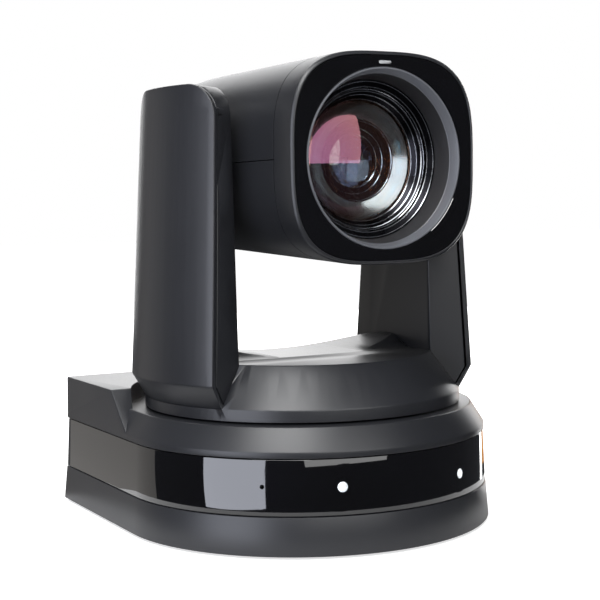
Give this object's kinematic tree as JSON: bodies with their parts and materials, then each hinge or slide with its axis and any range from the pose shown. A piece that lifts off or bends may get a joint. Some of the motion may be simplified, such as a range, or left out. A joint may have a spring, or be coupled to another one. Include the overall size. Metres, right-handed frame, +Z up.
{
  "type": "ptz camera",
  "caption": "Pan, tilt and zoom camera: D-shaped base with a gloss window band and rear connectors, turning yoke with two arms, and a rounded-square head that tilts between them.",
  "frame": {"origin": "mouth of the tripod thread, on the pan axis, in the base's underside; the rubber feet stand 1 mm below it", "axes": "+Z up along the pan axis, the lens looks along -Y at rest, +X is the tilt axis, to the right seen from the front"},
  "size_m": [0.142, 0.1547, 0.17],
  "materials": {
    "charcoal_shell": "fine-grained moulded ABS",
    "gloss_black": "polished smoked polycarbonate",
    "window_white": "clear diffusing window",
    "feet_rubber": "moulded non-slip rubber",
    "brass": "turned",
    "steel": "zinc-plated",
    "panel_metal": "powder-coated sheet",
    "board": "solder-masked laminate",
    "socket_metal": "nickel-plated",
    "socket_plastic": "moulded nylon",
    "belt_rubber": "moulded neoprene",
    "cast_alloy": "die-cast",
    "lens_metal": "black anodised",
    "coated_glass": "anti-reflection coated"
  },
  "bodies": {
    "base": {"base_lower_shell": "charcoal_shell", "base_upper_shell": "charcoal_shell", "ir_window_band": "gloss_black", "signal_windows": "window_white", "rubber_feet": "feet_rubber", "tripod_insert": "brass", "base_screws": "steel", "panel_screws": "steel", "pan_spindle": "steel", "spindle_nut": "steel", "pan_motor": "steel", "rear_panel": "panel_metal", "base_chassis": "panel_metal", "main_board": "board", "lan_socket": "socket_metal", "usb_socket": "socket_metal", "hdmi_socket": "socket_metal", "sdi_socket": "socket_metal", "serial_socket": "socket_metal", "dc_inlet": "socket_plastic", "audio_socket": "socket_plastic", "pan_belt": "belt_rubber"},
    "yoke": {"turntable_shell": "charcoal_shell", "yoke_frame": "cast_alloy", "pan_bush": "brass", "pan_pulley": "socket_plastic", "left_arm_shell": "charcoal_shell", "right_arm_shell": "charcoal_shell", "left_arm_cover": "charcoal_shell", "right_arm_cover": "charcoal_shell", "tilt_bushes": "brass", "tilt_motor": "steel", "tilt_belt": "belt_rubber", "tilt_board": "board"},
    "head": {"head_bezel": "charcoal_shell", "face_plate": "gloss_black", "tally_window": "window_white", "head_top_shell": "charcoal_shell", "head_bottom_shell": "charcoal_shell", "head_chassis": "panel_metal", "head_screws": "steel", "left_tilt_hub": "steel", "right_tilt_hub": "steel", "tilt_pulley": "socket_plastic", "lens_hood": "charcoal_shell", "lens_trim_ring": "lens_metal", "retaining_ring": "lens_metal", "lens_cell": "lens_metal", "lens_baffle": "lens_metal", "front_lens": "coated_glass", "second_lens": "coated_glass", "lens_barrel": "lens_metal", "guide_rods": "steel", "sensor_board": "board"},
    "zoom_group": {"zoom_cell": "lens_metal", "zoom_lens": "coated_glass"},
    "focus_group": {"focus_cell": "lens_metal", "focus_lens": "coated_glass"},
    "pan_drive": {"pan_motor_pulley": "socket_plastic"},
    "tilt_drive": {"tilt_motor_pulley": "socket_plastic"}
  },
  "joints": [
    {"name": "pan", "type": "hinge", "parent": "base", "child": "yoke", "pos_m": [0, 0, 0.05], "axis": [0, 0, 1], "range_deg": [-170, 170]},
    {"name": "tilt", "type": "hinge", "parent": "yoke", "child": "head", "pos_m": [0, 0, 0.1332], "axis": [-1, 0, 0], "range_deg": [-30, 90]},
    {"name": "zoom", "type": "slide", "parent": "head", "child": "zoom_group", "axis": [0, 1, 0], "range_m": [0, 0.022]},
    {"name": "focus", "type": "slide", "parent": "head", "child": "focus_group", "axis": [0, 1, 0], "range_m": [-0.005, 0.01]},
    {"name": "pan_motor_turn", "type": "hinge", "parent": "base", "child": "pan_drive", "pos_m": [0, -0.045, 0.03], "axis": [0, 0, 1], "range_deg": [-815, 815]},
    {"name": "tilt_motor_turn", "type": "hinge", "parent": "yoke", "child": "tilt_drive", "pos_m": [-0.053, 0, 0.086], "axis": [-1, 0, 0], "range_deg": [-60, 180]}
  ],
  "couplings": [
    {"joint": "pan_motor_turn", "follows": "pan", "ratio": 4.7705},
    {"joint": "tilt_motor_turn", "follows": "tilt", "ratio": 1.9804}
  ]
}
